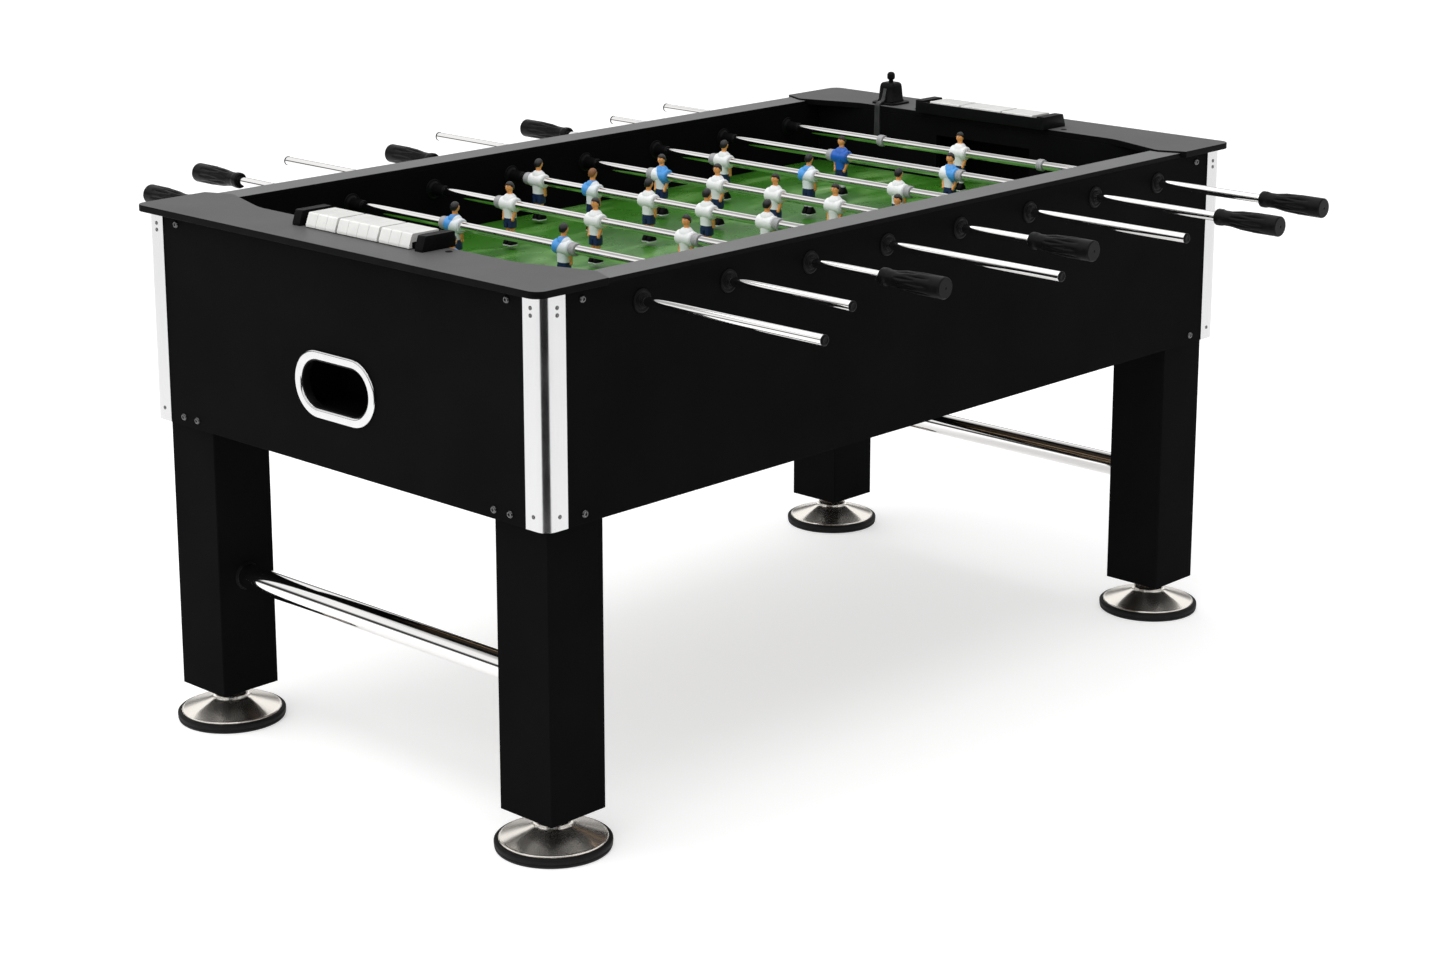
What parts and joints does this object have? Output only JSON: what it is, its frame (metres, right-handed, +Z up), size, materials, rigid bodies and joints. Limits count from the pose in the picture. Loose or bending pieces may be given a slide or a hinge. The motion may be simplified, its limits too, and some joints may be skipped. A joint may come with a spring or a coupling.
{
  "type": "foosball table",
  "caption": "Free-standing table football game: black cabinet on square legs with sliding, turning player rods, end scorers, ball returns and levelling feet.",
  "frame": {"origin": "on the floor under the middle of the table, at the centre of its bounding box's bottom", "axes": "+X along the table's length, +Y along the rods towards the back, +Z up"},
  "size_m": [1.556, 1.53, 0.856],
  "materials": {
    "black_board": "matte black laminate on board, fine grain",
    "deck_board": "dark grey satin laminate on board",
    "green_field": "printed green sheet, satin",
    "raw_wood": "plain sawn wood",
    "bright_trim": "polished aluminium",
    "chrome_tube": "bright chrome plate",
    "black_plastic": "moulded black plastic",
    "dark_plastic": "moulded dark grey plastic",
    "dark_steel": "blackened steel screws",
    "white_plastic": "moulded white plastic",
    "nickel_plate": "warm nickel plate, brushed, on a black rubber pad",
    "figure_plastic": "painted moulded plastic figures",
    "grip_plastic": "ribbed black plastic grip",
    "black_rubber": "soft black rubber"
  },
  "bodies": {
    "cabinet": {"side_panel_front": "black_board", "side_panel_back": "black_board", "end_panel_left": "black_board", "end_panel_right": "black_board", "field_walls": "black_board", "goal_walls": "black_board", "side_rails": "deck_board", "end_deck_left": "deck_board", "end_deck_right": "deck_board", "playfield": "green_field", "field_supports": "raw_wood", "corner_blocks": "raw_wood", "corner_trims": "bright_trim", "legs": "black_board", "cross_bars": "chrome_tube", "rod_bearings": "black_plastic", "bearing_collars": "black_plastic", "ball_return_frames": "bright_trim", "ball_trays": "black_plastic", "cabinet_fasteners": "dark_steel", "scorer_bases": "dark_plastic", "serving_post": "black_plastic"},
    "counters_left": {"score_counters_left": "white_plastic"},
    "counters_right": {"score_counters_right": "white_plastic"},
    "foot_left_front": {"foot_left_front": "nickel_plate"},
    "foot_left_back": {"foot_left_back": "nickel_plate"},
    "foot_right_front": {"foot_right_front": "nickel_plate"},
    "foot_right_back": {"foot_right_back": "nickel_plate"},
    "rod_1_carrier": {"rod_1_bumpers": "black_rubber"},
    "rod_1": {"rod_1_tube": "chrome_tube", "rod_1_figures": "figure_plastic", "rod_1_grip": "grip_plastic"},
    "rod_2_carrier": {"rod_2_bumpers": "black_rubber"},
    "rod_2": {"rod_2_tube": "chrome_tube", "rod_2_figures": "figure_plastic", "rod_2_grip": "grip_plastic"},
    "rod_3_carrier": {"rod_3_bumpers": "black_rubber"},
    "rod_3": {"rod_3_tube": "chrome_tube", "rod_3_figures": "figure_plastic", "rod_3_grip": "grip_plastic"},
    "rod_4_carrier": {"rod_4_bumpers": "black_rubber"},
    "rod_4": {"rod_4_tube": "chrome_tube", "rod_4_figures": "figure_plastic", "rod_4_grip": "grip_plastic"},
    "rod_5_carrier": {"rod_5_bumpers": "black_rubber"},
    "rod_5": {"rod_5_tube": "chrome_tube", "rod_5_figures": "figure_plastic", "rod_5_grip": "grip_plastic"},
    "rod_6_carrier": {"rod_6_bumpers": "black_rubber"},
    "rod_6": {"rod_6_tube": "chrome_tube", "rod_6_figures": "figure_plastic", "rod_6_grip": "grip_plastic"},
    "rod_7_carrier": {"rod_7_bumpers": "black_rubber"},
    "rod_7": {"rod_7_tube": "chrome_tube", "rod_7_figures": "figure_plastic", "rod_7_grip": "grip_plastic"},
    "rod_8_carrier": {"rod_8_bumpers": "black_rubber"},
    "rod_8": {"rod_8_tube": "chrome_tube", "rod_8_figures": "figure_plastic", "rod_8_grip": "grip_plastic"}
  },
  "joints": [
    {"name": "foot_left_front_level", "type": "slide", "parent": "cabinet", "child": "foot_left_front", "axis": [0, 0, -1], "range_m": [0, 0.02]},
    {"name": "foot_left_back_level", "type": "slide", "parent": "cabinet", "child": "foot_left_back", "axis": [0, 0, -1], "range_m": [0, 0.02]},
    {"name": "foot_right_front_level", "type": "slide", "parent": "cabinet", "child": "foot_right_front", "axis": [0, 0, -1], "range_m": [0, 0.02]},
    {"name": "foot_right_back_level", "type": "slide", "parent": "cabinet", "child": "foot_right_back", "axis": [0, 0, -1], "range_m": [0, 0.02]},
    {"name": "score_left_slide", "type": "slide", "parent": "cabinet", "child": "counters_left", "axis": [0, 1, 0], "range_m": [-0.012, 0.012]},
    {"name": "score_right_slide", "type": "slide", "parent": "cabinet", "child": "counters_right", "axis": [0, 1, 0], "range_m": [-0.012, 0.012]},
    {"name": "rod_1_slide", "type": "slide", "parent": "cabinet", "child": "rod_1_carrier", "axis": [0, 1, 0], "range_m": [-0.116, 0.214]},
    {"name": "rod_1_spin", "type": "hinge", "parent": "rod_1_carrier", "child": "rod_1", "pos_m": [-0.5831, 0, 0.757], "axis": [0, 1, 0], "continuous": true},
    {"name": "rod_2_slide", "type": "slide", "parent": "cabinet", "child": "rod_2_carrier", "axis": [0, 1, 0], "range_m": [-0.215, 0.181]},
    {"name": "rod_2_spin", "type": "hinge", "parent": "rod_2_carrier", "child": "rod_2", "pos_m": [-0.4165, 0, 0.757], "axis": [0, 1, 0], "continuous": true},
    {"name": "rod_3_slide", "type": "slide", "parent": "cabinet", "child": "rod_3_carrier", "axis": [0, 1, 0], "range_m": [-0.132, 0.12]},
    {"name": "rod_3_spin", "type": "hinge", "parent": "rod_3_carrier", "child": "rod_3", "pos_m": [-0.2499, 0, 0.757], "axis": [0, 1, 0], "continuous": true},
    {"name": "rod_4_slide", "type": "slide", "parent": "cabinet", "child": "rod_4_carrier", "axis": [0, 1, 0], "range_m": [-0.126, 0.006]},
    {"name": "rod_4_spin", "type": "hinge", "parent": "rod_4_carrier", "child": "rod_4", "pos_m": [-0.0833, 0, 0.757], "axis": [0, 1, 0], "continuous": true},
    {"name": "rod_5_slide", "type": "slide", "parent": "cabinet", "child": "rod_5_carrier", "axis": [0, 1, 0], "range_m": [-0.012, 0.12]},
    {"name": "rod_5_spin", "type": "hinge", "parent": "rod_5_carrier", "child": "rod_5", "pos_m": [0.0833, 0, 0.757], "axis": [0, 1, 0], "continuous": true},
    {"name": "rod_6_slide", "type": "slide", "parent": "cabinet", "child": "rod_6_carrier", "axis": [0, 1, 0], "range_m": [-0.151, 0.101]},
    {"name": "rod_6_spin", "type": "hinge", "parent": "rod_6_carrier", "child": "rod_6", "pos_m": [0.2499, 0, 0.757], "axis": [0, 1, 0], "continuous": true},
    {"name": "rod_7_slide", "type": "slide", "parent": "cabinet", "child": "rod_7_carrier", "axis": [0, 1, 0], "range_m": [-0.181, 0.215]},
    {"name": "rod_7_spin", "type": "hinge", "parent": "rod_7_carrier", "child": "rod_7", "pos_m": [0.4165, 0, 0.757], "axis": [0, 1, 0], "continuous": true},
    {"name": "rod_8_slide", "type": "slide", "parent": "cabinet", "child": "rod_8_carrier", "axis": [0, 1, 0], "range_m": [-0.145, 0.185]},
    {"name": "rod_8_spin", "type": "hinge", "parent": "rod_8_carrier", "child": "rod_8", "pos_m": [0.5831, 0, 0.757], "axis": [0, 1, 0], "continuous": true}
  ]
}
